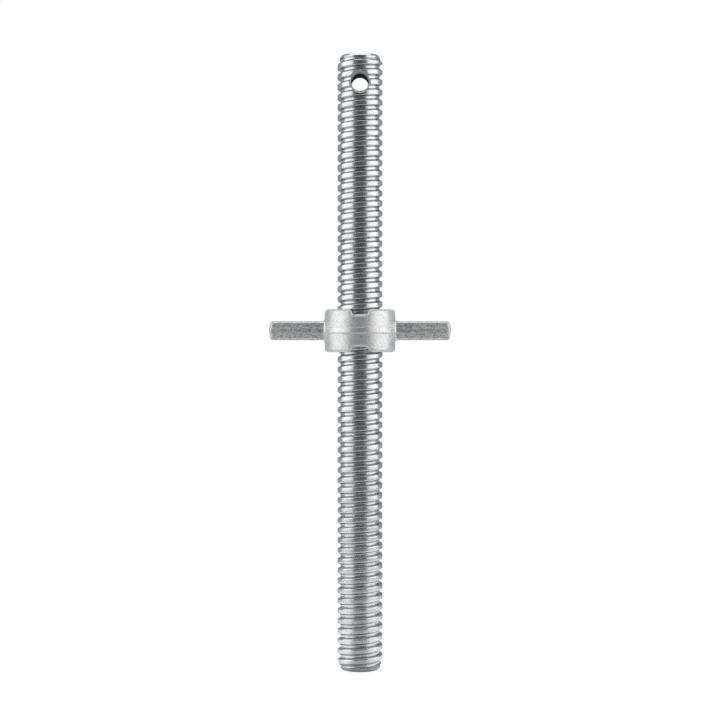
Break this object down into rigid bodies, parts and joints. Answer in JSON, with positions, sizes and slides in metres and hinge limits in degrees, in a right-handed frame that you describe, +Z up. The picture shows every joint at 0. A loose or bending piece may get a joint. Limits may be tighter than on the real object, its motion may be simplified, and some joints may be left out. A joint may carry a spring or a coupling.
{
  "type": "scaffold base jack",
  "caption": "Upright threaded steel rod with a cross hole near its top and a cast nut with bar handles that screws along it to level a scaffold frame.",
  "frame": {"origin": "centre of the rod's foot, the flat sawn end that it stands on", "axes": "+Z up the rod, X along the two handles, Y along the cross hole"},
  "size_m": [0.1446, 0.0576, 0.488],
  "materials": {
    "plated_steel": "bright zinc-plated rolled steel, satin to glossy along the thread crests",
    "plated_casting": "zinc-plated casting, fine sand-cast grain with a parting line"
  },
  "bodies": {
    "rod": {"threaded_rod": "plated_steel"},
    "nut": {"handle_nut": "plated_casting"}
  },
  "joints": [
    {"name": "nut_travel", "type": "slide", "parent": "rod", "child": "nut", "axis": [0, 0, 1], "range_m": [-0.248, 0.16]}
  ]
}
